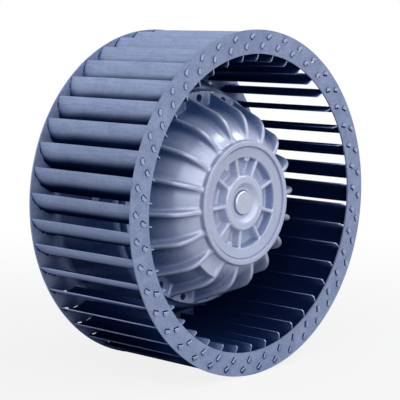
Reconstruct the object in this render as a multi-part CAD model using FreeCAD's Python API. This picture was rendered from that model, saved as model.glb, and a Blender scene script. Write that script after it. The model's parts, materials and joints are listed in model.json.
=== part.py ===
"""Centrifugal fan: a forward-curved sheet wheel carried on an external-rotor motor.

The shaft lies along Y. The flat mounting face of the stator flange is the plane y = 0,
and the fan stands out from it towards -Y, where the air goes in. +Z is up.
Angles are measured about the shaft from +X towards +Z, as seen from the intake.
Lengths are in millimetres and angles in degrees. A length named ahead is the distance
of a place from the mounting face, and a length named place is its distance from the shaft.
"""

import FreeCAD, Part

import math
import os

from FreeCAD import Vector

# Wheel
wheel_diameter = 315.0
wheel_width = 131.0
wheel_standoff = 8.0
ring_sheet = 1.5
disc_sheet = 1.5
ring_width = 21.5
disc_edge_inset = 1.2
disc_rim_width = 32.0
disc_dish_margin = 4.0
disc_bend_radius = 5.0
disc_spigot_clearance = 0.3

# Blades
blade_count = 42
blade_sheet = 1.0
blade_depth = 25.6
blade_edge_inset = 2.2
blade_arc_radius = 31.0
blade_sweep = 8.1
blade_first_angle = 3.3
blade_corner_cut = 1.6

# Tabs that join the blades to the ring and the disc
tab_length = 5.6
tab_fold = 2.4
tab_root = 1.0
tab_crown = 1.3
tab_tip = 0.9
tab_corner_cut = 1.2
tab_inner_depth = 14.8
tab_outer_depth = 6.5
slot_end_gap = 0.2
slot_side_gap = 1.2

# Rotor housing
rotor_flange_ahead = 65.2
rotor_flange_diameter = 200.0
rotor_flange_thickness = 8.0
rotor_flange_width = 14.0
rotor_skirt_step = 5.0
rotor_wall = 5.0
rotor_rim_gap = 2.0
shoulder_inset = 11.5
shoulder_setback = 22.5
shoulder_wall = 4.0
lip_diameter = 114.0
lip_width = 4.8
lip_depth = 5.4
groove_width = 1.4
groove_depth = 2.6
face_recess = 2.0
face_slope = 1.4
recess_diameter = 83.6
recess_depth = 13.5
recess_floor = 5.0
recess_draft = 1.0
boss_diameter = 50.6
boss_setback = 2.0
boss_dish_diameter = 37.0
boss_dish_depth = 4.0
hub_diameter = 40.0
hub_nose = 1.0
plug_diameter = 21.4
plug_gap = 0.7
plug_height = 5.2
plug_proud = 2.8

# Cooling ribs, spokes, posts, lug and holes of the rotor housing
rib_count = 18
rib_first_angle = 3.4
rib_thickness = 4.8
rib_rim_inset = 1.5
rib_corner_inset = 5.7
rib_corner_setback = 9.1
rib_bend_radius = 26.0
rib_foot_setback = 3.4
rib_crest_chamfer = 1.5
root_overlap = 2.0
spoke_count = 9
spoke_thickness = 3.6
spoke_setback = 3.6
post_angles = (83.4, 123.4, 243.4)
post_diameter = 8.0
post_setback = 4.2
pad_hole_diameter = 7.0
pad_hole_inset = 6.0
lug_angle = 233.4
lug_span = 17.0
lug_reach = 17.0
lug_setback = 8.6

# Active parts of the motor
cage_thickness = 7.1
air_gap = 0.4
stack_length = 52.0
slot_count = 24
slot_depth = 22.0
slot_roof = 2.6
tooth_width = 8.0
winding_overhang = 16.0
winding_side_gap = 0.5
winding_rear_clearance = 4.0
winding_front_clearance = 3.9
cage_end_ring = 4.0
cage_end_step = 1.5

# Shaft and bearings
shaft_diameter = 17.0
shaft_tail_ahead = 2.0
shaft_chamfer = 1.0
bearing_diameter = 40.0
bearing_width = 12.0
bearing_race = 3.4
bearing_seal = 0.8
bearing_running_gap = 0.08
front_bearing_ahead = 85.0
rear_bearing_ahead = 6.0
bearing_stop_height = 4.0
circlip_width = 1.2
circlip_height = 2.4
circlip_groove_depth = 0.8
circlip_gap_angle = 60.0
spring_thickness = 1.4
spring_width = 3.5

# Stator flange
flange_edge_step = 14.0
flange_plate = 9.0
flange_face_margin = 0.9
flange_face_height = 9.0
bearing_tube_wall = 5.0
core_shoulder = 5.0
mount_hole_count = 4
mount_hole_inset = 10.0
mount_hole_diameter = 6.8
mount_hole_depth = 14.0
mount_first_angle = 45.0
grommet_angle = 270.0
grommet_inset = 18.0
grommet_hole = 11.0
grommet_bore = 7.0
grommet_brim = 1.6

# Screws and balance weights
screw_count = 6
screw_diameter = 5.0
screw_head_diameter = 9.0
screw_head_height = 3.0
screw_depth = 6.0
screw_inset = 8.0
screw_hole_clearance = 0.25
weight_angles = (71.0, 176.0)
weight_setback = 20.0
weight_diameter = 7.0
weight_head = 2.2
weight_stem_diameter = 3.4
weight_tail_diameter = 5.6
weight_tail = 1.4
weight_tail_gap = 0.06
weight_hole_clearance = 0.15

# How far a cutting tool runs past a face
past = 1.0

# How near two places are that count as one
same_place = 0.01

# Places along the shaft, ahead of the mounting face and so negative
y_disc = -wheel_standoff
y_ring = y_disc - wheel_width
y_plate_rear = -flange_face_height
y_plate_front = y_plate_rear - flange_plate
y_rim = y_plate_front - rotor_rim_gap
y_stack_rear = y_plate_front - winding_rear_clearance - winding_overhang
y_stack_front = y_stack_rear - stack_length
y_inside = y_stack_front - winding_overhang - winding_front_clearance
y_floor = y_inside - recess_floor
y_face = y_floor - recess_depth
y_boss = y_face + boss_setback
y_plug_seat = y_boss + boss_dish_depth - plug_proud + plug_height
y_flange_rear = -rotor_flange_ahead
y_flange_front = y_flange_rear - rotor_flange_thickness
y_disc_floor = y_flange_rear + disc_sheet
y_front_bearing = -front_bearing_ahead
y_front_stop = y_front_bearing + bearing_width + spring_thickness
y_rear_bearing = -rear_bearing_ahead - bearing_width
y_circlip = -rear_bearing_ahead

# Radii
wheel_radius = wheel_diameter / 2
ring_inner_radius = wheel_radius - ring_width
disc_radius = wheel_radius - disc_edge_inset
disc_rim_radius = disc_radius - disc_rim_width
blade_outer_radius = wheel_radius - blade_edge_inset
blade_inner_radius = blade_outer_radius - blade_depth
tab_radii = (wheel_radius - tab_inner_depth, wheel_radius - tab_outer_depth)
rotor_flange_radius = rotor_flange_diameter / 2
disc_floor_radius = rotor_flange_radius + disc_dish_margin
bell_radius = rotor_flange_radius - rotor_flange_width
shoulder_radius = bell_radius - shoulder_inset
rib_corner_radius = bell_radius - rib_corner_inset
pad_hole_place = rotor_flange_radius - pad_hole_inset
screw_place = rotor_flange_radius - screw_inset
skirt_radius = bell_radius - rotor_skirt_step
skirt_bore_radius = skirt_radius - rotor_wall
lip_radius = lip_diameter / 2
recess_radius = recess_diameter / 2
boss_radius = boss_diameter / 2
cage_inner_radius = skirt_bore_radius - cage_thickness
stator_radius = cage_inner_radius - air_gap
slot_top_radius = stator_radius - slot_roof
slot_bottom_radius = slot_top_radius - slot_depth
bearing_radius = bearing_diameter / 2
tube_radius = bearing_radius + bearing_tube_wall
shaft_radius = shaft_diameter / 2
race_inner_radius = shaft_radius + bearing_race
race_outer_radius = bearing_radius - bearing_race
flange_radius = rotor_flange_radius - flange_edge_step
grommet_place = flange_radius - grommet_inset
grommet_brim_radius = grommet_hole / 2 + grommet_brim
flange_face_radius = grommet_place - grommet_brim_radius - flange_face_margin
mount_hole_place = flange_face_radius - mount_hole_inset

SHAFT_AXIS = Vector(0, 1, 0)
ORIGIN = Vector(0, 0, 0)


# Shared helpers


def at_angle(shape, angle):
    """Copy a shape to an angle about the shaft."""
    moved = shape.copy()
    moved.rotate(ORIGIN, SHAFT_AXIS, -angle)
    return moved


def pattern(shape, count, first_angle=0.0):
    """Copies of a shape spread evenly about the shaft."""
    return [at_angle(shape, first_angle + k * 360.0 / count) for k in range(count)]


def polar(radius, angle):
    """The point in the plane y = 0 at a radius and an angle about the shaft."""
    turn = math.radians(angle)
    return Vector(radius * math.cos(turn), 0, radius * math.sin(turn))


def bend(before, corner, after, radius):
    """The start, middle and end of the arc that rounds a corner."""
    to_before = (before - corner).normalize()
    to_after = (after - corner).normalize()
    half_turn = to_before.getAngle(to_after) / 2
    reach = radius / math.tan(half_turn)
    drop = radius / math.sin(half_turn) - radius
    inwards = (to_before + to_after).normalize()
    return corner + to_before * reach, corner + inwards * drop, corner + to_after * reach


def profile(*corners):
    """A face in the plane of the shaft and +X, from its corners as (radius, y).

    A third number rounds the corner. A pair of points in place of a corner
    is an arc through the first point to the second.
    """
    ends = [corner[-1] if isinstance(corner[0], tuple) else corner for corner in corners]
    points = [Vector(end[0], end[1], 0) for end in ends]
    edges = []
    here = None
    first = None
    for index, corner in enumerate(corners):
        before = points[index - 1] if here is None else here
        after = points[(index + 1) % len(points)]
        if isinstance(corner[0], tuple):
            middle = Vector(corner[0][0], corner[0][1], 0)
            edges.append(Part.Arc(here, middle, points[index]).toShape())
            here = points[index]
            continue
        rounding = corner[2] if len(corner) == 3 else 0.0
        if rounding:
            start, middle, end = bend(before, points[index], after, rounding)
        else:
            start = end = points[index]
        if here is not None:
            edges.append(Part.LineSegment(here, start).toShape())
        if rounding:
            edges.append(Part.Arc(start, middle, end).toShape())
        if first is None:
            first = start
        here = end
    edges.append(Part.LineSegment(here, first).toShape())
    return Part.Face(Part.Wire(edges))


def turned(*corners):
    """A solid of revolution about the shaft."""
    return profile(*corners).revolve(ORIGIN, SHAFT_AXIS, 360)


def tube(outer_radius, inner_radius, y_front, y_rear):
    """A plain ring about the shaft."""
    return turned((inner_radius, y_front), (outer_radius, y_front), (outer_radius, y_rear),
                  (inner_radius, y_rear))


def rod(radius, y_front, y_rear, centre_radius):
    """A round bar parallel to the shaft, at a distance from it towards +X."""
    return Part.makeCylinder(radius, y_rear - y_front, Vector(centre_radius, y_front, 0), SHAFT_AXIS)


# Blades and their tabs


def blade_ends():
    """The two ends of the blade's middle line, seen along the shaft."""
    inner = polar(blade_inner_radius, blade_first_angle)
    outer = polar(blade_outer_radius, blade_first_angle - blade_sweep)
    return inner, outer


def blade_centre():
    """The centre of the blade's arc, on the side that the wheel turns towards."""
    inner, outer = blade_ends()
    chord = outer - inner
    rise = math.sqrt(blade_arc_radius ** 2 - (chord.Length / 2) ** 2)
    across = Vector(chord.z, 0, -chord.x).normalize()
    if across.dot(polar(1.0, blade_first_angle - 90.0)) < 0:
        across = across * -1
    return (inner + outer) * 0.5 + across * rise


def blade_point(radius):
    """The point of the blade's middle line at a radius from the shaft."""
    centre = blade_centre()
    along = (radius ** 2 - blade_arc_radius ** 2 + centre.Length ** 2) / (2 * centre.Length)
    aside = math.sqrt(radius ** 2 - along ** 2)
    axis = Vector(centre).normalize()
    return axis * along + Vector(-axis.z, 0, axis.x) * aside


def blade_section():
    """The curved strip seen along the shaft, as a face at y = 0."""
    centre = blade_centre()
    inner, outer = blade_ends()
    middle = (inner + outer) * 0.5
    rays = [(point - centre).normalize() for point in (inner, middle, outer)]
    concave = [centre + ray * (blade_arc_radius - blade_sheet / 2) for ray in rays]
    convex = [centre + ray * (blade_arc_radius + blade_sheet / 2) for ray in rays]
    edges = [
        Part.Arc(*concave).toShape(),
        Part.LineSegment(concave[2], convex[2]).toShape(),
        Part.Arc(*reversed(convex)).toShape(),
        Part.LineSegment(convex[0], concave[0]).toShape(),
    ]
    return Part.Face(Part.Wire(edges))


def on_blade(shape, radius):
    """Place a shape drawn about the origin on the blade's middle line.

    Its X then runs along the blade's section and its Z points to the convex side.
    """
    point = blade_point(radius)
    outwards = (point - blade_centre()).normalize()
    placed = shape.copy()
    placed.rotate(ORIGIN, SHAFT_AXIS, math.degrees(math.atan2(outwards.x, outwards.z)))
    placed.translate(point)
    return placed


def bent_tab(y_sheet, sheet, outwards):
    """A tab that rises from the blade through its slot and lies folded on the sheet's outer face."""
    half = blade_sheet / 2
    root = -(sheet + tab_root)
    tip = half + tab_fold
    outline = [(-half, root), (half, root), (half, 0.0), (tip, 0.0), (tip, tab_tip), (half, tab_crown),
               (0.0, tab_crown), (-half, half)]
    points = [Vector(-tab_length / 2, y_sheet + outwards * height, aside) for aside, height in outline]
    tab = Part.Face(Part.makePolygon(points + [points[0]])).extrude(Vector(tab_length, 0, 0))
    tip_corners = [edge for edge in tab.Edges if is_upright_at(edge, tip)]
    return tab.makeChamfer(tab_corner_cut, tip_corners).removeSplitter()


def is_upright_at(edge, aside):
    """True for an edge that is parallel to the shaft and stands at this Z."""
    low, high = [vertex.Point for vertex in edge.Vertexes]
    upright = abs(low.x - high.x) < same_place and abs(low.z - high.z) < same_place
    return upright and abs(low.z - aside) < same_place


def slots(y_front, y_rear):
    """The cutters of every slot of a ring or disc."""
    length = tab_length + 2 * slot_end_gap
    width = blade_sheet + 2 * slot_side_gap
    slot = Part.makeBox(length, y_rear - y_front, width, Vector(-length / 2, y_front, -width / 2))
    cutters = []
    for radius in tab_radii:
        cutters += pattern(on_blade(slot, radius), blade_count)
    return cutters


def make_blade():
    """The first blade, with the front corner of its inner edge cut off."""
    front = y_ring + ring_sheet
    rear = y_disc - disc_sheet
    blade = blade_section().extrude(Vector(0, rear - front, 0))
    blade.translate(Vector(0, front, 0))
    clear = blade_inner_radius - blade_sheet
    cut_end = blade_inner_radius + blade_corner_cut
    corner = turned((clear, front - past), (cut_end, front - past), (cut_end, front),
                    (blade_inner_radius, front + blade_corner_cut), (clear, front + blade_corner_cut))
    tabs = []
    for radius in tab_radii:
        tabs.append(on_blade(bent_tab(y_ring, ring_sheet, -1), radius))
        tabs.append(on_blade(bent_tab(y_disc, disc_sheet, 1), radius))
    return blade.cut(corner).fuse(tabs).removeSplitter()


# Sheet ring and disc


def make_front_ring():
    """The flat slotted ring at the intake."""
    y_back = y_ring + ring_sheet
    ring = tube(wheel_radius, ring_inner_radius, y_ring, y_back)
    return ring.cut(slots(y_ring - past, y_back + past))


def dish_wall():
    """The dish wall's two ends on its front face, and its outward normal."""
    floor_end = Vector(disc_floor_radius, y_flange_rear, 0)
    rim_end = Vector(disc_rim_radius, y_disc - disc_sheet, 0)
    along = (rim_end - floor_end).normalize()
    return floor_end, rim_end, Vector(along.y, -along.x, 0)


def weight_seat():
    """Where a balance weight sits on the front face of the dish wall, and the wall's outward normal."""
    floor_end, rim_end, normal = dish_wall()
    return floor_end + (rim_end - floor_end).normalize() * weight_setback, normal


def make_back_disc():
    """The slotted disc, dished forward to its seat on the rotor flange."""
    floor_end, rim_end, normal = dish_wall()
    bore = skirt_radius + disc_spigot_clearance
    outer_bend = disc_bend_radius + disc_sheet
    wall_shift = disc_sheet * (1 + normal.y) / normal.x
    disc = turned(
        (bore, y_flange_rear),
        (floor_end.x, y_flange_rear, outer_bend),
        (rim_end.x, rim_end.y, disc_bend_radius),
        (disc_radius, rim_end.y),
        (disc_radius, y_disc),
        (rim_end.x - wall_shift, y_disc, outer_bend),
        (floor_end.x - wall_shift, y_disc_floor, disc_bend_radius),
        (bore, y_disc_floor),
    )
    hole_radius = screw_diameter / 2 + screw_hole_clearance
    hole = rod(hole_radius, y_flange_rear - past, y_disc_floor + past, screw_place)
    holes = pattern(hole, screw_count, rib_first_angle)
    seat, outwards = weight_seat()
    stem_radius = weight_stem_diameter / 2 + weight_hole_clearance
    stem_hole = Part.makeCylinder(stem_radius, disc_sheet + 2 * past, seat + outwards * past, -outwards)
    holes += [at_angle(stem_hole, angle) for angle in weight_angles]
    return disc.cut(slots(rim_end.y - past, y_disc + past) + holes)


def make_balance_weights():
    """The two riveted weights that balance the wheel."""
    seat, outwards = weight_seat()
    head = Part.makeCylinder(weight_diameter / 2, weight_head, seat, outwards)
    reach = disc_sheet + weight_tail_gap
    stem = Part.makeCylinder(weight_stem_diameter / 2, reach, seat, -outwards)
    tail = Part.makeCylinder(weight_tail_diameter / 2, weight_tail, seat - outwards * reach, -outwards)
    weight = stem.fuse([head, tail])
    return Part.makeCompound([at_angle(weight, angle) for angle in weight_angles])


def make_disc_screws():
    """The screws that hold the disc to the rotor flange, from behind."""
    shank = rod(screw_diameter / 2, y_flange_rear - screw_depth, y_disc_floor, screw_place)
    head = rod(screw_head_diameter / 2, y_disc_floor, y_disc_floor + screw_head_height, screw_place)
    return Part.makeCompound(pattern(shank.fuse(head), screw_count, rib_first_angle))


# Rotor housing


def bell():
    """The plain turned form of the housing, without its ribs."""
    dish_radius = boss_dish_diameter / 2
    y_dish = y_boss + boss_dish_depth
    groove_outer = lip_radius - lip_width
    groove_inner = groove_outer - groove_width
    plug_hole = plug_diameter / 2 + plug_gap
    hub_radius = hub_diameter / 2
    shoulder = (shoulder_radius, y_face + shoulder_setback)
    inner_shoulder = (shoulder_radius - shoulder_wall, y_face + shoulder_setback + shoulder_wall)
    return turned(
        (shaft_radius, y_plug_seat),
        (plug_hole, y_plug_seat),
        (plug_hole, y_dish),
        (dish_radius - boss_dish_depth, y_dish),
        (dish_radius, y_boss),
        (boss_radius, y_boss),
        (boss_radius + recess_draft, y_floor),
        (recess_radius - recess_draft, y_floor),
        (recess_radius, y_face + face_recess + face_slope),
        (groove_inner, y_face + face_recess),
        (groove_inner, y_face + groove_depth),
        (groove_outer, y_face + groove_depth),
        (groove_outer, y_face),
        (lip_radius, y_face),
        (lip_radius, y_face + lip_depth),
        (shoulder, (bell_radius, y_flange_front)),
        (rotor_flange_radius, y_flange_front),
        (rotor_flange_radius, y_flange_rear),
        (skirt_radius, y_flange_rear),
        (skirt_radius, y_rim),
        (skirt_bore_radius, y_rim),
        (skirt_bore_radius, y_stack_front - cage_end_ring),
        (inner_shoulder, (recess_radius + rotor_wall, y_inside)),
        (hub_radius, y_inside),
        (hub_radius, y_front_bearing - hub_nose),
        (race_inner_radius, y_front_bearing - hub_nose),
        (race_inner_radius, y_front_bearing),
        (shaft_radius, y_front_bearing),
    )


def cooling_rib():
    """One rib: a straight run from the flange rim, a bend over the shoulder and a run to the lip."""
    rim_radius = rotor_flange_radius - rib_rim_inset
    foot_radius = lip_radius - root_overlap
    face = profile(
        (rim_radius, y_flange_rear - root_overlap),
        (rim_radius, y_flange_front),
        (rib_corner_radius, y_face + rib_corner_setback, rib_bend_radius),
        (foot_radius, y_face + rib_foot_setback),
        (foot_radius, y_face + lip_depth + root_overlap),
        ((shoulder_radius - root_overlap, y_face + shoulder_setback + root_overlap),
         (bell_radius - root_overlap, y_flange_front)),
        (bell_radius - root_overlap, y_flange_rear - root_overlap),
    )
    rim_run = face.Edges[1]
    bend_run = face.Edges[2]
    foot_run = face.Edges[3]
    rib = face.extrude(Vector(0, 0, rib_thickness))
    crest = [edge for edge in rib.Edges if runs_beside(edge, (rim_run, bend_run, foot_run))]
    rib = rib.makeChamfer(rib_crest_chamfer, crest)
    rib.translate(Vector(0, 0, -rib_thickness / 2))
    return rib


def runs_beside(edge, crest_runs):
    """True for a rib's edge that lies over one of the crest's runs on either flank."""
    middle = edge.CenterOfMass
    for run in crest_runs:
        over = run.CenterOfMass
        if abs(middle.x - over.x) < same_place and abs(middle.y - over.y) < same_place:
            return True
    return False


def face_spoke():
    """One spoke between the boss and the recess wall."""
    reach = recess_radius - boss_radius + 2 * root_overlap
    depth = y_floor - y_face - spoke_setback + past
    corner = Vector(boss_radius - root_overlap, y_face + spoke_setback, -spoke_thickness / 2)
    return Part.makeBox(reach, depth, spoke_thickness, corner)


def cast_lug():
    """The flat-topped lug between two ribs, beside the lip."""
    y_top = y_face + lug_setback
    foot_radius = lip_radius - root_overlap
    face = profile((foot_radius, y_top), (lip_radius + lug_reach, y_top),
                   (lip_radius + lug_reach, y_face + shoulder_setback + root_overlap), (foot_radius, y_floor))
    lug = face.revolve(ORIGIN, SHAFT_AXIS, -lug_span)
    return at_angle(lug, lug_angle - lug_span / 2)


def make_rotor_housing():
    """The cast bell with its ribs, spokes, posts, lug and holes."""
    pitch = 360.0 / rib_count
    added = pattern(cooling_rib(), rib_count, rib_first_angle)
    added += pattern(face_spoke(), spoke_count, rib_first_angle + pitch)
    post = rod(post_diameter / 2, y_face + post_setback, y_floor + past, recess_radius)
    added += [at_angle(post, angle) for angle in post_angles]
    added.append(cast_lug())
    pad_hole = rod(pad_hole_diameter / 2, y_flange_front - past, y_flange_rear + past, pad_hole_place)
    y_screw_end = y_flange_rear - screw_depth - past
    screw_hole = rod(screw_diameter / 2, y_screw_end, y_flange_rear + past, screw_place)
    holes = pattern(pad_hole, rib_count, rib_first_angle + pitch / 2)
    holes += pattern(screw_hole, screw_count, rib_first_angle)
    return bell().fuse(added).cut(holes).removeSplitter()


def make_hub_plug():
    """The cap in the middle of the rotor's face, seated on the step of its hole and on the shaft's end."""
    y_top = y_plug_seat - plug_height
    radius = plug_diameter / 2
    return turned((0, y_top), (radius - plug_gap, y_top), (radius, y_top + plug_gap), (radius, y_plug_seat),
                  (0, y_plug_seat))


def make_rotor_cage():
    """The ring of sheets with its two cast end rings, pressed into the bell."""
    inner = cage_inner_radius
    outer = skirt_bore_radius
    y_front_ring = y_stack_front - cage_end_ring
    y_rear_ring = y_stack_rear + cage_end_ring
    return turned(
        (inner, y_stack_front), (inner + cage_end_step, y_stack_front), (inner + cage_end_step, y_front_ring),
        (outer - cage_end_step, y_front_ring), (outer - cage_end_step, y_stack_front), (outer, y_stack_front),
        (outer, y_stack_rear), (outer - cage_end_step, y_stack_rear), (outer - cage_end_step, y_rear_ring),
        (inner + cage_end_step, y_rear_ring), (inner + cage_end_step, y_stack_rear), (inner, y_stack_rear),
    )


# Shaft, bearings and their small parts


def make_shaft():
    """The shaft, fixed in the rotor hub and grooved for its retaining ring."""
    tail = -shaft_tail_ahead
    groove_radius = shaft_radius - circlip_groove_depth
    return turned((0, y_plug_seat), (shaft_radius, y_plug_seat), (shaft_radius, y_circlip),
                  (groove_radius, y_circlip), (groove_radius, y_circlip + circlip_width),
                  (shaft_radius, y_circlip + circlip_width),
                  (shaft_radius, tail - shaft_chamfer), (shaft_radius - shaft_chamfer, tail), (0, tail))


def bearing_inner_ring(y_front):
    """The inner ring of a sealed ball bearing, on the shaft."""
    return tube(race_inner_radius, shaft_radius, y_front, y_front + bearing_width)


def bearing_outer_ring(y_front):
    """The outer ring of a sealed ball bearing with its two seals, in the bearing tube."""
    y_rear = y_front + bearing_width
    seal_radius = race_inner_radius + bearing_running_gap
    return turned((bearing_radius, y_front), (bearing_radius, y_rear), (seal_radius, y_rear),
                  (seal_radius, y_rear - bearing_seal), (race_outer_radius, y_rear - bearing_seal),
                  (race_outer_radius, y_front + bearing_seal), (seal_radius, y_front + bearing_seal),
                  (seal_radius, y_front))


def make_retaining_ring():
    """The open ring that keeps the rear bearing on the shaft."""
    inner = shaft_radius - circlip_groove_depth
    outer = shaft_radius + circlip_height
    face = profile((inner, y_circlip), (outer, y_circlip), (outer, y_circlip + circlip_width),
                   (inner, y_circlip + circlip_width))
    return at_angle(face.revolve(ORIGIN, SHAFT_AXIS, circlip_gap_angle - 360.0), circlip_gap_angle)


def make_wave_spring():
    """The spring washer behind the front bearing's outer ring."""
    return tube(bearing_radius, bearing_radius - spring_width, y_front_stop - spring_thickness, y_front_stop)


# Stator


def make_stator_flange():
    """The cast flange with its bearing tube, mounting face and cable hole."""
    stop = bearing_radius - bearing_stop_height
    shoulder = tube_radius + core_shoulder
    flange = turned(
        (bearing_radius, y_front_bearing), (tube_radius, y_front_bearing), (tube_radius, y_stack_rear),
        (shoulder, y_stack_rear), (shoulder, y_plate_front), (flange_radius, y_plate_front),
        (flange_radius, y_plate_rear),
        (flange_face_radius, y_plate_rear), (flange_face_radius, 0), (bearing_radius, 0),
        (bearing_radius, y_rear_bearing), (stop, y_rear_bearing), (stop, y_front_stop),
        (bearing_radius, y_front_stop),
    )
    mount_hole = rod(mount_hole_diameter / 2, -mount_hole_depth, past, mount_hole_place)
    holes = pattern(mount_hole, mount_hole_count, mount_first_angle)
    cable_hole = rod(grommet_hole / 2, y_plate_front - past, y_plate_rear + past, grommet_place)
    holes.append(at_angle(cable_hole, grommet_angle))
    return flange.cut(holes)


def slot_bars(y_front, y_rear):
    """The space of every winding slot between two places along the shaft."""
    half_pitch = math.pi / slot_count
    wide = slot_top_radius * half_pitch - tooth_width / 2
    narrow = slot_bottom_radius * half_pitch - tooth_width / 2
    corners = [Vector(slot_top_radius, y_front, -wide), Vector(slot_top_radius, y_front, wide),
               Vector(slot_bottom_radius, y_front, narrow), Vector(slot_bottom_radius, y_front, -narrow)]
    bar = Part.Face(Part.makePolygon(corners + [corners[0]])).extrude(Vector(0, y_rear - y_front, 0))
    return pattern(bar, slot_count)


def make_stator_core():
    """The stack of slotted sheets, pushed over the bearing tube."""
    core = tube(stator_radius, tube_radius, y_stack_front, y_stack_rear)
    return core.cut(slot_bars(y_stack_front - past, y_stack_rear + past))


def make_stator_winding():
    """The coil sides in the slots and the two rings of end turns."""
    soft = winding_overhang / 4
    front_foot = y_stack_front - winding_side_gap
    rear_foot = y_stack_rear + winding_side_gap
    front_end = y_stack_front - winding_overhang
    rear_end = y_stack_rear + winding_overhang
    rings = []
    for foot, end, turn_in in ((front_foot, front_end, soft), (rear_foot, rear_end, -soft)):
        rings.append(turned((slot_bottom_radius, foot), (slot_bottom_radius, end + turn_in),
                            (slot_bottom_radius + soft, end), (slot_top_radius - soft, end),
                            (slot_top_radius, end + turn_in), (slot_top_radius, foot)))
    return rings[0].fuse([rings[1]] + slot_bars(front_foot - past, rear_foot + past))


def make_cable_grommet():
    """The rubber grommet in the flange's cable hole."""
    hole = grommet_hole / 2
    brim = grommet_brim_radius
    bore = grommet_bore / 2
    grommet = turned((bore, y_plate_front - grommet_brim), (brim, y_plate_front - grommet_brim),
                     (brim, y_plate_front), (hole, y_plate_front), (hole, y_plate_rear), (brim, y_plate_rear),
                     (brim, y_plate_rear + grommet_brim), (bore, y_plate_rear + grommet_brim))
    grommet.translate(polar(grommet_place, grommet_angle))
    return grommet


def save(name, shape):
    """Write one node."""
    shape.exportStep(os.path.join("parts", name + ".step"))


def main():
    os.makedirs("parts", exist_ok=True)
    save("front_ring", make_front_ring())
    save("back_disc", make_back_disc())
    for number, blade in enumerate(pattern(make_blade(), blade_count), start=1):
        save("blade_%02d" % number, blade)
    save("balance_weights", make_balance_weights())
    save("disc_screws", make_disc_screws())
    save("rotor_housing", make_rotor_housing())
    save("hub_plug", make_hub_plug())
    save("rotor_cage", make_rotor_cage())
    save("shaft", make_shaft())
    save("front_bearing_inner", bearing_inner_ring(y_front_bearing))
    save("front_bearing_outer", bearing_outer_ring(y_front_bearing))
    save("rear_bearing_inner", bearing_inner_ring(y_rear_bearing))
    save("rear_bearing_outer", bearing_outer_ring(y_rear_bearing))
    save("retaining_ring", make_retaining_ring())
    save("wave_spring", make_wave_spring())
    save("stator_flange", make_stator_flange())
    save("stator_core", make_stator_core())
    save("stator_winding", make_stator_winding())
    save("cable_grommet", make_cable_grommet())


main()
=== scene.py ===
import json
import math

import bmesh
import bpy
import numpy as np
from mathutils import Matrix, Vector


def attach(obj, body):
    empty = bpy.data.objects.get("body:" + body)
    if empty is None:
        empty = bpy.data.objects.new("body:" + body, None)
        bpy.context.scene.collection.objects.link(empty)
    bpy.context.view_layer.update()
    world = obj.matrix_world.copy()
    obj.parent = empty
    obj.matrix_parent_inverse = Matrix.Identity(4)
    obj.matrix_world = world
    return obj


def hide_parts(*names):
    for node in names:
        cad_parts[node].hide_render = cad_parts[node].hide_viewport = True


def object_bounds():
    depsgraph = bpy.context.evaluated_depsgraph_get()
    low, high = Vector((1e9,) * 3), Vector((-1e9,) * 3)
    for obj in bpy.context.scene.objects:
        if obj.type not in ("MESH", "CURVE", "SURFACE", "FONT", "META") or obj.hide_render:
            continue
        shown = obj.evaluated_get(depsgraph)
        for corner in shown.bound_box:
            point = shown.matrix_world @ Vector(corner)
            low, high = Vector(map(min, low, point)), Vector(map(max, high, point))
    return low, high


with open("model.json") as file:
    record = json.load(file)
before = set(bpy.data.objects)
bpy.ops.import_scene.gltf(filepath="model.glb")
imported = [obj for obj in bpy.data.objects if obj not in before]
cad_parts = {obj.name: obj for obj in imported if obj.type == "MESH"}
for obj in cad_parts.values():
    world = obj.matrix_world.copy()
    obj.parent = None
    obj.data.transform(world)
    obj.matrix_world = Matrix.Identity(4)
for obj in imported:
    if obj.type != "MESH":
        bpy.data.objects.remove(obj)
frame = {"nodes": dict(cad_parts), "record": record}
cad_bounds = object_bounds()

# Camera, fitted to the outlines of the ring and the disc. Its place is in metres.

CAMERA_PLACE = (-0.982003, -0.998214, 0.171996)
CAMERA_RIGHT = (0.68738, -0.72630, 0.00220)
CAMERA_UP = (0.09141, 0.08951, 0.99178)
CAMERA_BACK = (-0.72052, -0.68153, 0.12792)
CAMERA_LENS = 130.53
CAMERA_SENSOR = 36.0
CAMERA_REACH = 50.0

# Rotor housing, in millimetres and degrees. A height is a distance ahead of the mounting face.
# A line is made of corners (radius, height, rounding).

MM = 0.001

RIB_COUNT = 18
RIB_FIRST = 3.4
PITCH = 360.0 / RIB_COUNT
RIB_HALF = 2.2
RIB_CREST = 2.0
RIB_DRAFT = 0.02
RIB_FILLET = 3.0
RIB_LINE = ((55.0, 125.0, 0.0), (80.3, 119.3, 26.0), (98.5, 73.2, 0.0), (100.5, 66.0, 0.0))
RIB_BEND_STEPS = 24

SPOKE_FIRST = 1
SPOKE_HALF = 1.7
SPOKE_TOP = 124.4
SPOKE_CREST = 1.3
SPOKE_DRAFT = 0.06
SPOKE_FILLET = 1.4
SPOKE_REACH = (23.0, 42.2)

LUG_GAP = 11
LUG_TOP = 119.8
LUG_REACH = 74.0
LUG_EDGE = 0.8
LUG_FILLET = 1.2

POST_ANGLES = (83.4, 123.4, 243.4)
POST_RADIUS = 4.0
POST_PLACE = 41.8
POST_HEIGHTS = (112.0, 124.2)
POST_EDGE = 0.7
POST_EDGE_TURNS = (30, 60, 90)
POST_SEGMENTS = 32

HOLE_RADIUS = 3.5
HOLE_PLACE = 94.0
HOLE_HEIGHTS = (60.0, 80.0)
HOLE_SEGMENTS = 40

SHARP_ANGLE = 50.0

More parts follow.
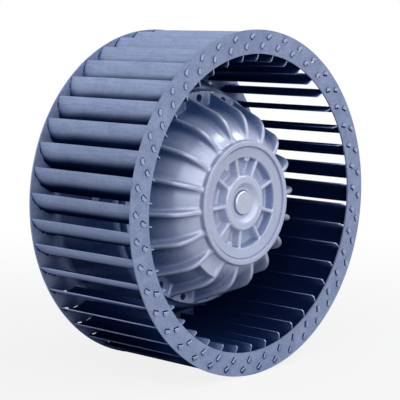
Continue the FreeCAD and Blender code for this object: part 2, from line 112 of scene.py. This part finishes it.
# The front without its ribs: the plug's seat, the boss, the recess, the face, the lip, the bell's
# shoulder and the flange.
FACE_LINE = (
    (0.0, 120.0, 0.0), (11.4, 120.0, 0.1), (11.42, 122.4, 0.3), (14.5, 122.4, 1.2),
    (18.5, 126.4, 1.4), (25.3, 126.4, 2.0), (26.3, 114.9, 2.0), (40.8, 114.9, 2.4),
    (41.8, 125.0, 0.9), (50.8, 126.4, 0.3), (51.0, 125.8, 0.2), (52.1, 125.8, 0.2),
    (52.2, 128.4, 0.7), (57.0, 128.4, 1.3), (57.3, 123.0, 2.2),
)
SHOULDER = ((57.3, 123.0), (74.5, 105.9), (86.0, 73.2))
SHOULDER_POINTS = 26
FLANGE_LINE = ((86.0, 73.2, 2.2), (100.0, 73.2, 0.8), (100.02, 60.0, 0.0))

# The closed back, out of sight, in points (radius, height): flange and skirt, the inside of the
# bell, and the hub.
BACK_SKIRT = ((100.0, 66.0), (99.2, 65.2), (81.0, 65.2), (81.0, 20.6), (80.4, 20.0),
              (76.6, 20.0), (76.0, 20.6), (76.0, 94.0))
BACK_BEND = ((76.0, 94.0), (70.5, 101.9), (46.8, 109.9))
BACK_BEND_POINTS = 7
BACK_HUB = ((20.0, 109.9), (20.0, 86.0), (11.9, 86.0), (11.9, 85.0), (8.5, 85.0), (8.5, 120.0))

# The mesh has a ring of points at each radius from one mark (radius, step) to the next. A ring's
# points lie beside each rib's middle at fixed distances, and at even angles between the ribs.
# Inside the full width radius those distances shrink with the radius.
RADIUS_MARKS = (
    (9.0, 1.0), (11.35, 0.07), (11.42, 0.25), (12.0, 0.8), (13.6, 0.4), (19.2, 0.9),
    (22.8, 0.3), (25.0, 0.16), (26.6, 0.4), (28.6, 2.2), (38.0, 0.5), (40.0, 0.25),
    (41.0, 0.2), (42.4, 0.8), (44.0, 2.2), (50.2, 0.3), (50.6, 0.1), (51.3, 0.3),
    (51.9, 0.08), (52.3, 0.2), (53.3, 0.7), (55.2, 0.25), (57.6, 0.3), (59.4, 0.6),
    (61.0, 1.6), (72.0, 0.9), (73.4, 0.2), (74.6, 0.6), (76.0, 0.9), (84.0, 0.55),
    (87.5, 0.8), (90.0, 1.6), (97.2, 0.7), (99.0, 0.2), (100.0, 0.2),
)
BESIDE_RIB = (0.0, 0.6, 1.1, 1.5, 1.8, 2.0, 2.15, 2.3, 2.5, 2.8, 3.2, 3.7, 4.3)
BETWEEN_RIBS = 6
FULL_WIDTH_RADIUS = 27.0

# Distance tables, and the search for the surface from above. A reading keeps TABLE_END short of a
# table's size, because it also needs the entry that follows.
TABLE_STEP = 0.1
TABLE_RADII = (0.0, 101.0)
TABLE_HEIGHTS = (62.0, 131.0)
TABLE_END = 1.001
SCAN_HEIGHTS = (64.0, 130.0)
SCAN_STEP = 0.5
HALVINGS = 11


def unit(vector):
    return vector / np.linalg.norm(vector)


def arc_through(start, middle, end, count):
    """Points on the circle through three points, from start to end."""
    (x1, y1), (x2, y2), (x3, y3) = start, middle, end
    d = 2 * (x1 * (y2 - y3) + x2 * (y3 - y1) + x3 * (y1 - y2))
    s1, s2, s3 = x1 * x1 + y1 * y1, x2 * x2 + y2 * y2, x3 * x3 + y3 * y3
    centre = np.array(((s1 * (y2 - y3) + s2 * (y3 - y1) + s3 * (y1 - y2)) / d,
                       (s1 * (x3 - x2) + s2 * (x1 - x3) + s3 * (x2 - x1)) / d))
    first = np.array(start) - centre
    last = np.array(end) - centre
    turns = np.linspace(math.atan2(first[1], first[0]), math.atan2(last[1], last[0]), count)
    radius = np.linalg.norm(first)
    return [(centre[0] + radius * math.cos(t), centre[1] + radius * math.sin(t)) for t in turns]


def rounded(corners, steps=6):
    """A line through corners, each rounded by an arc of so many steps."""
    points = []
    for index, (radius, height, rounding) in enumerate(corners):
        here = np.array((radius, height))
        if not rounding:
            points.append(here)
            continue
        to_before = unit(np.array(corners[index - 1][:2]) - here)
        to_after = unit(np.array(corners[index + 1][:2]) - here)
        half = math.acos(np.clip(to_before @ to_after, -1, 1)) / 2
        reach = rounding / math.tan(half)
        centre = here + unit(to_before + to_after) * rounding / math.sin(half)
        first = here + to_before * reach - centre
        last = here + to_after * reach - centre
        turn = math.pi - 2 * half
        for t in np.linspace(0, 1, steps + 1):
            spoke = math.sin((1 - t) * turn) * first + math.sin(t * turn) * last
            points.append(centre + spoke / math.sin(turn))
    return np.array(points)


def distance_table(line):
    """How far each place in the plane of the shaft lies from a line, negative below it."""
    radii = np.arange(TABLE_RADII[0], TABLE_RADII[1], TABLE_STEP)
    heights = np.arange(TABLE_HEIGHTS[0], TABLE_HEIGHTS[1], TABLE_STEP)
    across, along = np.meshgrid(radii, heights, indexing="ij")
    nearest = np.full(across.shape, np.inf)
    for (r0, h0), (r1, h1) in zip(line[:-1], line[1:]):
        dr, dh = r1 - r0, h1 - h0
        t = np.clip(((across - r0) * dr + (along - h0) * dh) / (dr * dr + dh * dh), 0, 1)
        nearest = np.minimum(nearest, (across - r0 - t * dr) ** 2 + (along - h0 - t * dh) ** 2)
    below = along < np.interp(across, line[:, 0], line[:, 1])
    return np.where(below, -1.0, 1.0) * np.sqrt(nearest)


def look_up(table, radius, height):
    """Reads a distance table between its entries."""
    u = np.clip((radius - TABLE_RADII[0]) / TABLE_STEP, 0, table.shape[0] - TABLE_END)
    v = np.clip((height - TABLE_HEIGHTS[0]) / TABLE_STEP, 0, table.shape[1] - TABLE_END)
    i, j = u.astype(int), v.astype(int)
    u, v = u - i, v - j
    low = table[i, j] * (1 - u) + table[i + 1, j] * u
    high = table[i, j + 1] * (1 - u) + table[i + 1, j + 1] * u
    return low * (1 - v) + high * v


def filleted(a, b, fillet):
    """The distance to two forms together, with a fillet where they meet."""
    near = np.hypot(np.maximum(fillet - a, 0), np.maximum(fillet - b, 0))
    return np.maximum(fillet, np.minimum(a, b)) - near


def edged(a, b, rounding):
    """The distance to what two forms have in common, with a rounded edge."""
    near = np.hypot(np.maximum(rounding + a, 0), np.maximum(rounding + b, 0))
    return np.minimum(-rounding, np.maximum(a, b)) + near


def bell_line():
    """The front of the housing without its ribs, from the plug's seat to the flange's rim."""
    shoulder = arc_through(*SHOULDER, SHOULDER_POINTS)[1:-1]
    return rounded([*FACE_LINE, *((r, h, 0.0) for r, h in shoulder), *FLANGE_LINE])


def housing_distance(bell, crest, radius, aside, rib_number, gap_number, height):
    """The distance to the housing's front, from the tables of its bell and of its ribs' crest."""
    body = look_up(bell, radius, height)
    rib_top = look_up(crest, radius, height)
    rib_side = np.abs(aside) - RIB_HALF - RIB_DRAFT * np.maximum(-rib_top, 0)
    inner_end = RIB_LINE[0][0] - radius
    rib = edged(np.maximum(rib_top, inner_end), rib_side, RIB_CREST)
    body = filleted(body, rib, RIB_FILLET)
    spoke_side = np.abs(aside) - SPOKE_HALF - SPOKE_DRAFT * np.maximum(SPOKE_TOP - height, 0)
    spoke_ends = np.maximum(SPOKE_REACH[0] - radius, radius - SPOKE_REACH[1])
    spoke = edged(np.maximum(height - SPOKE_TOP, spoke_ends), spoke_side, SPOKE_CREST)
    has_spoke = rib_number % 2 == SPOKE_FIRST
    body = np.where(has_spoke, filleted(body, spoke, SPOKE_FILLET), body)
    lug = edged(height - LUG_TOP, radius - LUG_REACH, LUG_EDGE)
    return np.where(gap_number == LUG_GAP, filleted(body, lug, LUG_FILLET), body)


def spread(marks):
    """Numbers from (start, step) marks, each run ending where the next begins."""
    numbers = []
    for (start, step), (stop, _) in zip(marks[:-1], marks[1:]):
        count = max(1, round((stop - start) / step))
        numbers += list(np.linspace(start, stop, count, endpoint=False))
    return np.array(numbers + [marks[-1][0]])


def housing_grid(radii):
    """For each ring, the angles of its points from the nearest rib, over one pitch."""
    rows = []
    for radius in radii:
        scale = min(1.0, radius / FULL_WIDTH_RADIUS)
        angles = np.degrees(np.arcsin(np.array(BESIDE_RIB) * scale / radius))
        rest = np.linspace(angles[-1], PITCH / 2, BETWEEN_RIBS + 1)[1:]
        one_side = np.concatenate((angles, rest))
        rows.append(np.concatenate((-one_side[:0:-1], one_side[:-1])))
    return np.array(rows)


def at(radius, height, angle):
    """A point in metres, from a radius and height in millimetres and an angle in degrees."""
    turn = np.radians(angle)
    return np.stack((radius * np.cos(turn), -height + 0 * turn, radius * np.sin(turn)), -1) * MM


def surface_heights(shape, outside):
    """Where a search from above first meets the surface, by steps and then by halving."""
    low_end, level = SCAN_HEIGHTS
    top = np.full(shape, level)
    searching = np.ones(shape, bool)
    while level > low_end:
        level -= SCAN_STEP
        searching &= outside(np.full(shape, level))
        top = np.where(searching, level, top)
    low = top - SCAN_STEP
    for _ in range(HALVINGS):
        middle = (top + low) / 2
        free = outside(middle)
        top = np.where(free, middle, top)
        low = np.where(free, low, middle)
    return top


def housing_mesh():
    """The cast bell with rounded and filleted ribs, spokes and lug, closed behind."""
    bell = distance_table(bell_line())
    crest = distance_table(rounded(RIB_LINE, RIB_BEND_STEPS))
    radii = spread(RADIUS_MARKS)
    offsets = housing_grid(radii)
    offset = np.tile(offsets, (1, RIB_COUNT))
    rib = np.repeat(np.arange(RIB_COUNT), offsets.shape[1])[None, :] + np.zeros_like(offset, int)
    gap = np.where(offset < 0, (rib - 1) % RIB_COUNT, rib)
    radius = radii[:, None] + np.zeros_like(offset)
    aside = radius * np.sin(np.radians(offset))
    angle = RIB_FIRST + rib * PITCH + offset

    def outside(height):
        return housing_distance(bell, crest, radius, aside, rib, gap, height) > 0

    front = at(radius, surface_heights(radius.shape, outside), angle)
    behind = [*BACK_SKIRT, *arc_through(*BACK_BEND, BACK_BEND_POINTS)[1:], *BACK_HUB]
    rear = np.array([at(r, h, angle[-1]) for r, h in behind])
    return mesh_of_rows("rotor_housing_cast", np.concatenate((front, rear)))


def mesh_of_rows(name, rows):
    """A closed mesh from rings of points, joined each to the next and the last to the first."""
    count, around = rows.shape[:2]
    index = np.arange(count * around).reshape(count, around)
    following = np.roll(index, -1, 0)
    corners = (index, np.roll(index, -1, 1), np.roll(following, -1, 1), following)
    quads = np.stack(corners, -1).reshape(-1, 4)
    mesh = bpy.data.meshes.new(name)
    mesh.from_pydata(rows.reshape(-1, 3).tolist(), [], quads.tolist())
    form = bmesh.new()
    form.from_mesh(mesh)
    bmesh.ops.recalc_face_normals(form, faces=form.faces)
    form.to_mesh(mesh)
    form.free()
    return mesh


def add_object(name, data):
    added = bpy.data.objects.new(name, data)
    bpy.context.scene.collection.objects.link(added)
    return added


def turned_mesh(name, outline, segments, centre):
    """A closed turned form about a line parallel to the shaft, from (radius, height) points."""
    angles = np.linspace(0, 360, segments, endpoint=False)
    form = bmesh.new()
    rings = [[form.verts.new(Vector(p) + centre) for p in at(radius, height, angles)]
             for radius, height in outline]
    for one, two in zip(rings[:-1], rings[1:]):
        for k in range(segments):
            form.faces.new((one[k], one[(k + 1) % segments], two[(k + 1) % segments], two[k]))
    form.faces.new(rings[0])
    form.faces.new(list(reversed(rings[-1])))
    bmesh.ops.recalc_face_normals(form, faces=form.faces)
    mesh = bpy.data.meshes.new(name)
    form.to_mesh(mesh)
    form.free()
    return mesh


def joined_mesh(name, meshes):
    form = bmesh.new()
    for mesh in meshes:
        form.from_mesh(mesh)
    whole = bpy.data.meshes.new(name)
    form.to_mesh(whole)
    form.free()
    return whole


def pad_holes():
    """The tools that cut a hole through the flange between each two ribs."""
    outline = [(HOLE_RADIUS, height) for height in HOLE_HEIGHTS]
    angles = [RIB_FIRST + (k + 0.5) * PITCH for k in range(RIB_COUNT)]
    return [turned_mesh("hole", outline, HOLE_SEGMENTS, Vector(at(HOLE_PLACE, 0.0, angle)))
            for angle in angles]


def recess_posts():
    """The round posts at the recess wall, with a rounded edge on top."""
    low, high = POST_HEIGHTS
    outline = [(POST_RADIUS, low), (POST_RADIUS, high - POST_EDGE)]
    for degrees in POST_EDGE_TURNS:
        turn = math.radians(degrees)
        outline.append((POST_RADIUS - POST_EDGE + POST_EDGE * math.cos(turn),
                        high - POST_EDGE + POST_EDGE * math.sin(turn)))
    return [turned_mesh("post", outline, POST_SEGMENTS, Vector(at(POST_PLACE, 0.0, angle)))
            for angle in POST_ANGLES]


def make_housing():
    """The housing's visual piece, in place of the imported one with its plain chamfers."""
    body = add_object("rotor_housing_cast", housing_mesh())
    cutter = add_object("cutter", joined_mesh("cutter", pad_holes()))
    cut = body.modifiers.new("holes", "BOOLEAN")
    cut.operation = "DIFFERENCE"
    cut.solver = "MANIFOLD"
    cut.object = cutter
    graph = bpy.context.evaluated_depsgraph_get()
    holed = bpy.data.meshes.new_from_object(body.evaluated_get(graph))
    body.modifiers.clear()
    bpy.data.objects.remove(cutter)
    body.data = joined_mesh("rotor_housing_cast", [holed] + recess_posts())
    body.data.shade_smooth()
    body.data.set_sharp_from_angle(angle=math.radians(SHARP_ANGLE))
    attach(body, "wheel")
    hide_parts("rotor_housing")
    return body


# Materials. Lengths are in metres. Openness is the share of the directions that are free within a
# reach. As it falls from open_at to closed, a surface turns to its deep colour, which is painted
# shade.

SHADE_REACH = 0.12
# The short reach paints thin shade lines where parts meet, as around the blades' tabs.
CREVICE_REACH = 0.0022
OPENNESS_SAMPLES = 16

# What most values of a noise lie between, and their middle.
NOISE_RANGE = (0.3, 0.7)
NOISE_MIDDLE = 0.5

# Sheet: the colour that it passes through in half shade, and the run along the shaft, beside the
# disc, over which it is eased out of the shade.
SHEET_HALF_SHADE = (0.19, 0.29, 0.60)
DISC_SIDE = (-0.042, -0.014)
DISC_EASE = 0.13

# Casting: the colour of its painted shade, the radii where the recess ends, how free of painted
# shade it is there, the painted light that brightens it there and that light's share, and the
# radii where the dull dish of the boss ends.
CAST_PAINTED_SHADE = (0.058, 0.122, 0.310)
RECESS_RADII = (0.0395, 0.0425)
RECESS_FREE = 0.92
RECESS_PAINTED_LIGHT = (0.57, 0.62, 0.78)
RECESS_PAINTED_LIGHT_SHARE = 0.5
DISH_RADII = (0.0165, 0.0200)
DISH_ROUGHNESS = 0.5

# A sheet's deep colour is painted shade, and its crevice range paints thin shade lines where parts
# meet.
SHEETS = {
    "galvanised_sheet": dict(
        dark=(0.198, 0.244, 0.396), light=(0.288, 0.341, 0.505), deep=(0.016, 0.042, 0.150),
        roughness=0.46, metallic=0.50, streaks=0.15, closed=0.25, open_at=0.46,
        crevice=(0.56, 0.82)),
    "blade_sheet": dict(
        dark=(0.300, 0.375, 0.592), light=(0.392, 0.472, 0.718), deep=(0.007, 0.019, 0.085),
        roughness=0.45, metallic=0.20, streaks=0.5, closed=0.38, open_at=0.69,
        # The tabs that stand ahead of the ring are painted lighter: a painted highlight.
        crevice=(0.30, 0.62), highlight_ahead=0.1391, highlight_fade=0.0002, tab_highlight=(0.36, 0.42, 0.59)),
}

CASTINGS = {
    "cast_aluminium": dict(
        dark=(0.385, 0.432, 0.592), light=(0.475, 0.522, 0.688),
        roughness=0.27, metallic=0.12, closed=0.17, open_at=0.68),
    "flange_casting": dict(
        dark=(0.300, 0.340, 0.450), light=(0.400, 0.440, 0.560),
        roughness=0.46, metallic=0.7, closed=0.10, open_at=0.60),
}

SMALL_PARTS = {
    "plug_metal": dict(
        dark=(0.44, 0.48, 0.60), light=(0.54, 0.58, 0.70), roughness=0.36, metallic=0.7),
    "zinc_rivet": dict(
        dark=(0.30, 0.36, 0.52), light=(0.42, 0.49, 0.68), roughness=0.35, metallic=0.7),
    "zinc_screw": dict(
        dark=(0.36, 0.38, 0.45), light=(0.50, 0.52, 0.58), roughness=0.30, metallic=0.95),
    "rotor_iron": dict(
        dark=(0.10, 0.11, 0.14), light=(0.17, 0.18, 0.22), roughness=0.45, metallic=0.9,
        scale=900.0, lines=(0.2, 4.0, 0.2)),
    "stator_iron": dict(
        dark=(0.09, 0.10, 0.13), light=(0.16, 0.17, 0.21), roughness=0.42, metallic=0.9,
        scale=900.0, lines=(0.2, 4.0, 0.2)),
    "copper_winding": dict(
        dark=(0.30, 0.10, 0.04), light=(0.52, 0.20, 0.09), roughness=0.38, metallic=0.8,
        scale=1200.0, lines=(1.0, 0.3, 1.0), depth=0.0003),
    "ground_steel": dict(
        dark=(0.40, 0.42, 0.46), light=(0.55, 0.57, 0.60), roughness=0.22, metallic=1.0,
        scale=1500.0, lines=(0.2, 3.0, 0.2)),
    "bearing_steel": dict(
        dark=(0.38, 0.40, 0.43), light=(0.56, 0.58, 0.62), roughness=0.20, metallic=1.0,
        scale=1200.0, lines=(0.3, 2.0, 0.3)),
    "spring_steel": dict(
        dark=(0.16, 0.17, 0.20), light=(0.26, 0.27, 0.30), roughness=0.34, metallic=0.95),
    "grommet_rubber": dict(
        dark=(0.012, 0.012, 0.014), light=(0.03, 0.03, 0.035), roughness=0.6, metallic=0.0,
        scale=700.0),
}


def put(node, **values):
    """Sets a node's sockets, named as in Blender with underscores for spaces."""
    for name, value in values.items():
        node.inputs[name.replace("_", " ")].default_value = value


class Nodes:
    """Short calls for building a material's nodes."""

    def __init__(self, name):
        self.material = bpy.data.materials.new(name)
        self.material.use_nodes = True
        self.tree = self.material.node_tree
        self.shader = self.tree.nodes["Principled BSDF"]
        coordinate = self.tree.nodes.new("ShaderNodeTexCoord")
        self.place = coordinate.outputs["Object"]

    def link(self, source, target):
        self.tree.links.new(source, target)

    def stretched(self, scale):
        node = self.tree.nodes.new("ShaderNodeMapping")
        put(node, Scale=scale)
        self.link(self.place, node.inputs["Vector"])
        return node.outputs["Vector"]

    def noise(self, scale, detail, roughness, vector=None):
        node = self.tree.nodes.new("ShaderNodeTexNoise")
        put(node, Scale=scale, Detail=detail, Roughness=roughness)
        self.link(self.place if vector is None else vector, node.inputs["Vector"])
        return node.outputs["Fac"]

    def cells(self, scale):
        node = self.tree.nodes.new("ShaderNodeTexVoronoi")
        put(node, Scale=scale)
        self.link(self.place, node.inputs["Vector"])
        return node.outputs["Color"]

    def along_shaft(self):
        node = self.tree.nodes.new("ShaderNodeSeparateXYZ")
        self.link(self.place, node.inputs["Vector"])
        return node.outputs["Y"]

    def from_shaft(self):
        """The distance from the shaft's line."""
        node = self.tree.nodes.new("ShaderNodeVectorMath")
        node.operation = "LENGTH"
        self.link(self.stretched((1.0, 0.0, 1.0)), node.inputs[0])
        return node.outputs["Value"]

    def ranged(self, value, low, high, to_low, to_high):
        node = self.tree.nodes.new("ShaderNodeMapRange")
        put(node, From_Min=low, From_Max=high, To_Min=to_low, To_Max=to_high)
        self.link(value, node.inputs["Value"])
        return node.outputs["Result"]

    def maths(self, operation, one, two):
        node = self.tree.nodes.new("ShaderNodeMath")
        node.operation = operation
        for socket, value in zip(node.inputs, (one, two)):
            if isinstance(value, (int, float)):
                socket.default_value = value
            else:
                self.link(value, socket)
        return node.outputs["Value"]

    def weighted(self, *shares):
        """The sum of values, each times its share."""
        total = None
        for value, share in shares:
            part = self.maths("MULTIPLY", value, share)
            total = part if total is None else self.maths("ADD", total, part)
        return total

    def blended(self, factor, one, two):
        """A colour from the first at factor 0 to the second at factor 1."""
        node = self.tree.nodes.new("ShaderNodeMix")
        node.data_type = "RGBA"
        self.link(factor, node.inputs["Factor"])
        for name, value in (("A", one), ("B", two)):
            socket = next(s for s in node.inputs if s.name == name and s.type == "RGBA")
            if isinstance(value, tuple):
                socket.default_value = (*value, 1.0)
            else:
                self.link(value, socket)
        return next(s for s in node.outputs if s.type == "RGBA")

    def toned(self, shade, low, high, dark, light):
        """A colour from dark to light as a shade rises from low to high."""
        return self.blended(self.ranged(shade, low, high, 0.0, 1.0), dark, light)

    def varied(self, noise, level, less, more):
        """A number that a noise varies about a level, by so much less and so much more."""
        return self.ranged(noise, *NOISE_RANGE, level - less, level + more)

    def bump(self, height, strength, distance, below=None):
        node = self.tree.nodes.new("ShaderNodeBump")
        put(node, Strength=strength, Distance=distance)
        self.link(height, node.inputs["Height"])
        if below is not None:
            self.link(below, node.inputs["Normal"])
        return node.outputs["Normal"]

    def openness(self, reach, closed, open_at, eased=None):
        """0 where the surface lies deep between others within reach, and 1 where it lies free."""
        node = self.tree.nodes.new("ShaderNodeAmbientOcclusion")
        put(node, Distance=reach)
        node.samples = OPENNESS_SAMPLES
        free = node.outputs["AO"]
        if eased is not None:
            free = self.maths("ADD", free, eased)
        return self.ranged(free, closed, open_at, 0.0, 1.0)

    def finish(self, colour, roughness, normal, metallic, specular=0.5):
        self.link(colour, self.shader.inputs["Base Color"])
        self.link(roughness, self.shader.inputs["Roughness"])
        self.link(normal, self.shader.inputs["Normal"])
        if isinstance(metallic, float):
            put(self.shader, Metallic=metallic)
        else:
            self.link(metallic, self.shader.inputs["Metallic"])
        put(self.shader, Specular_IOR_Level=specular)
        return self.material


def sheet_material(name, dark, light, deep, roughness, metallic, streaks, closed, open_at, crevice,
                   highlight_ahead=None, highlight_fade=None, tab_highlight=None):
    """Zinc-coated sheet: a fine grain, faint crystals, soft stains and marks of rolling.

    The share of those marks is streaks, and crevice is closed and open_at for the short reach,
    which paints thin shade lines where parts meet. Shade is painted in as the openness falls.
    What lies further ahead than the given distance takes a lighter colour, a painted highlight.
    """
    n = Nodes(name)
    grain = n.noise(scale=520.0, detail=4.0, roughness=0.7)
    stain = n.noise(scale=16.0, detail=3.0, roughness=0.6)
    rolled = n.noise(scale=60.0, detail=2.0, roughness=0.5, vector=n.stretched((12.0, 0.6, 12.0)))
    shade = n.weighted((grain, 0.62), (stain, 0.22), (n.cells(130.0), 0.16),
                       (n.maths("SUBTRACT", rolled, NOISE_MIDDLE), streaks))
    colour = n.toned(shade, 0.38, 0.62, dark, light)
    # Painted highlight: the tabs standing ahead of the ring's face take a lighter colour.
    if tab_highlight:
        is_highlit = n.ranged(n.along_shaft(), -highlight_ahead - highlight_fade, -highlight_ahead, 1.0, 0.0)
        colour = n.blended(is_highlit, colour, tab_highlight)
    # Painted shade: in enclosed places, eased beside the disc, and in thin lines where parts meet.
    beside_disc = n.ranged(n.along_shaft(), *DISC_SIDE, 0.0, DISC_EASE)
    free = n.maths("MULTIPLY", n.openness(SHADE_REACH, closed, open_at, beside_disc),
                   n.openness(CREVICE_REACH, *crevice))
    colour = n.blended(free, deep, n.blended(free, SHEET_HALF_SHADE, colour))
    rough = n.varied(grain, roughness, less=0.05, more=0.06)
    soft = n.bump(stain, strength=0.12, distance=0.0012)
    normal = n.bump(grain, strength=0.10, distance=0.00025, below=soft)
    # The metallic share falls in the painted shade as well.
    return n.finish(colour, rough, normal, n.maths("MULTIPLY", free, metallic), specular=0.0)


def cast_material(name, dark, light, roughness, metallic, closed, open_at):
    """Die-cast aluminium: a soft skin with flow marks, stains, fine pits and painted shade."""
    n = Nodes(name)
    skin = n.noise(scale=420.0, detail=4.0, roughness=0.6)
    flow = n.noise(scale=22.0, detail=4.0, roughness=0.6, vector=n.stretched((1.0, 0.45, 1.0)))
    stain = n.noise(scale=9.0, detail=2.0, roughness=0.5)
    shade = n.weighted((flow, 0.5), (stain, 0.3), (skin, 0.2))
    colour = n.toned(shade, 0.36, 0.64, dark, light)
    # Painted light: the recess and the boss are painted brighter and kept out of the painted shade.
    recess = n.ranged(n.from_shaft(), *RECESS_RADII, RECESS_FREE, 0.0)
    colour = n.blended(n.maths("MULTIPLY", recess, RECESS_PAINTED_LIGHT_SHARE), colour, RECESS_PAINTED_LIGHT)
    # Painted shade: the colour turns to the deep colour where the casting lies enclosed.
    free = n.maths("MAXIMUM", recess, n.openness(SHADE_REACH, closed, open_at))
    colour = n.blended(free, CAST_PAINTED_SHADE, colour)
    rough = n.varied(flow, roughness, less=0.05, more=0.07)
    dish = n.ranged(n.from_shaft(), *DISH_RADII, DISH_ROUGHNESS, 0.0)
    soft = n.bump(flow, strength=0.10, distance=0.0010)
    normal = n.bump(skin, strength=0.10, distance=0.00025, below=soft)
    return n.finish(colour, n.maths("MAXIMUM", rough, dish), normal, metallic)


def small_material(name, dark, light, roughness, metallic, scale=500.0, lines=(1.0, 1.0, 1.0),
                   depth=0.0001):
    """A small part's finish: a fine grain, drawn out along the marks of its making."""
    n = Nodes(name)
    grain = n.noise(scale=scale, detail=3.0, roughness=0.6, vector=n.stretched(lines))
    cloud = n.noise(scale=60.0, detail=2.0, roughness=0.5)
    shade = n.weighted((grain, 0.6), (cloud, 0.4))
    colour = n.toned(shade, 0.35, 0.65, dark, light)
    rough = n.varied(grain, roughness, less=0.06, more=0.06)
    return n.finish(colour, rough, n.bump(grain, strength=0.15, distance=depth), metallic)


def make_materials():
    """Every material by the name of its slot."""
    makers = ((sheet_material, SHEETS), (cast_material, CASTINGS), (small_material, SMALL_PARTS))
    return {name: make(name, **look) for make, looks in makers for name, look in looks.items()}


def dress(materials):
    """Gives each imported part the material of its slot."""
    for entry in frame["record"]["subparts"]:
        node = frame["nodes"][entry["node"]]
        node.data.materials.clear()
        node.data.materials.append(materials[entry["material_slot"]])


# Studio. Lengths are in metres. The camera sees the floor's paint mixed with a white glow, whose
# share grows from the middle outwards until the floor is one with the white background.

WORLD_COLOUR = (0.93, 0.95, 1.0, 1.0)
WORLD_LEVEL = 0.07
WHITE = (1.0, 1.0, 1.0, 1.0)
WHITE_LEVEL = 1.0
FLOOR_COLOUR = (0.50, 0.52, 0.56, 1.0)
FLOOR_HALF = 6.0
FLOOR_GROWTH = (0.15, 0.9)
FLOOR_SHARES = (0.85, 1.0)

# A lamp's name, its angle to the left of the shaft and its rise in degrees, its size in metres, and
# the level in W/m2 to which it lights what faces it.
LAMPS = (
    ("left", 60.0, 52.0, (2.7, 2.7), 0.94),
    ("front", 30.0, 21.0, (6.2, 2.8), 1.54),
    ("top", 0.0, 45.0, (2.9, 2.9), 0.66),
    ("right_spot", -42.0, 58.0, (0.7, 0.7), 0.42),
    ("low_right_spot", -66.0, 43.0, (0.7, 0.7), 0.48),
    ("rear", 165.0, 12.0, (2.7, 1.6), 0.42),
)
LAMP_DISTANCE = 5.0
LAMP_AIM = (0.0, -0.07, 0.0)


def empty_tree(owner):
    """The node tree of a material or a world, without its nodes."""
    owner.use_nodes = True
    owner.node_tree.nodes.clear()
    return owner.node_tree


def light_node(tree, kind, colour, strength):
    """A background or an emission of one colour and strength."""
    node = tree.nodes.new(kind)
    put(node, Color=colour, Strength=strength)
    return node


def background_seen(tree):
    """1 for rays that show the background itself: to the camera, in gloss and through glass."""
    path = tree.nodes.new("ShaderNodeLightPath")
    seen = path.outputs["Is Camera Ray"]
    for kind in ("Is Glossy Ray", "Is Transmission Ray"):
        either = tree.nodes.new("ShaderNodeMath")
        either.operation = "MAXIMUM"
        tree.links.new(seen, either.inputs[0])
        tree.links.new(path.outputs[kind], either.inputs[1])
        seen = either.outputs[0]
    return seen


def end_in_mix(tree, output, share, one, two):
    """Ends a tree in a mix of two shaders, the first at share 0 and the second at share 1."""
    mix = tree.nodes.new("ShaderNodeMixShader")
    out = tree.nodes.new(output)
    for source, target in zip((share, one.outputs[0], two.outputs[0]), mix.inputs):
        tree.links.new(source, target)
    tree.links.new(mix.outputs[0], out.inputs["Surface"])


def make_world():
    world = bpy.data.worlds.new("studio")
    bpy.context.scene.world = world
    tree = empty_tree(world)
    dim = light_node(tree, "ShaderNodeBackground", WORLD_COLOUR, WORLD_LEVEL)
    white = light_node(tree, "ShaderNodeBackground", WHITE, WHITE_LEVEL)
    end_in_mix(tree, "ShaderNodeOutputWorld", background_seen(tree), dim, white)


def floor_material():
    material = bpy.data.materials.new("floor_paint")
    tree = empty_tree(material)
    paint = tree.nodes.new("ShaderNodeBsdfDiffuse")
    put(paint, Color=FLOOR_COLOUR)
    glow = light_node(tree, "ShaderNodeEmission", WHITE, WHITE_LEVEL)
    place = tree.nodes.new("ShaderNodeTexCoord")
    length = tree.nodes.new("ShaderNodeVectorMath")
    length.operation = "LENGTH"
    grow = tree.nodes.new("ShaderNodeMapRange")
    grow.interpolation_type = "SMOOTHSTEP"
    put(grow, From_Min=FLOOR_GROWTH[0], From_Max=FLOOR_GROWTH[1],
        To_Min=FLOOR_SHARES[0], To_Max=FLOOR_SHARES[1])
    share = tree.nodes.new("ShaderNodeMath")
    share.operation = "MULTIPLY"
    tree.links.new(place.outputs["Object"], length.inputs[0])
    tree.links.new(length.outputs["Value"], grow.inputs["Value"])
    tree.links.new(grow.outputs["Result"], share.inputs[0])
    tree.links.new(background_seen(tree), share.inputs[1])
    end_in_mix(tree, "ShaderNodeOutputMaterial", share.outputs[0], paint, glow)
    return material


def make_floor(level):
    form = bmesh.new()
    for x, y in ((-1, -1), (1, -1), (1, 1), (-1, 1)):
        form.verts.new((x * FLOOR_HALF, y * FLOOR_HALF, level))
    form.faces.new(form.verts)
    mesh = bpy.data.meshes.new("floor")
    form.to_mesh(mesh)
    form.free()
    mesh.materials.append(floor_material())
    floor = add_object("floor", mesh)


def softbox(name, to_left, rise, size, level):
    """A lamp of the table, at its distance from the aim and turned to it."""
    side, lift = math.radians(to_left), math.radians(rise)
    ahead = math.cos(lift)
    out = Vector((-math.sin(side) * ahead, -math.cos(side) * ahead, math.sin(lift)))
    data = bpy.data.lights.new(name, "AREA")
    data.shape = "RECTANGLE"
    data.size, data.size_y = size
    data.energy = level * math.pi * LAMP_DISTANCE ** 2
    lamp = add_object(name, data)
    lamp.location = Vector(LAMP_AIM) + out * LAMP_DISTANCE
    lamp.rotation_euler = (-out).to_track_quat("-Z", "Y").to_euler()


def make_camera():
    data = bpy.data.cameras.new("camera")
    data.sensor_width = CAMERA_SENSOR
    data.lens = CAMERA_LENS
    data.clip_end = CAMERA_REACH
    camera = add_object("camera", data)
    columns = (CAMERA_RIGHT, CAMERA_UP, CAMERA_BACK, CAMERA_PLACE)
    rows = [[column[row] for column in columns] for row in range(3)]
    camera.matrix_world = Matrix(rows + [[0, 0, 0, 1]])
    bpy.context.scene.camera = camera


materials = make_materials()
dress(materials)
housing = make_housing()
housing.data.materials.append(materials["cast_aluminium"])

make_world()
make_floor(cad_bounds[0].z)
for lamp in LAMPS:
    softbox(*lamp)
make_camera()
bpy.context.scene.view_settings.view_transform = "Standard"
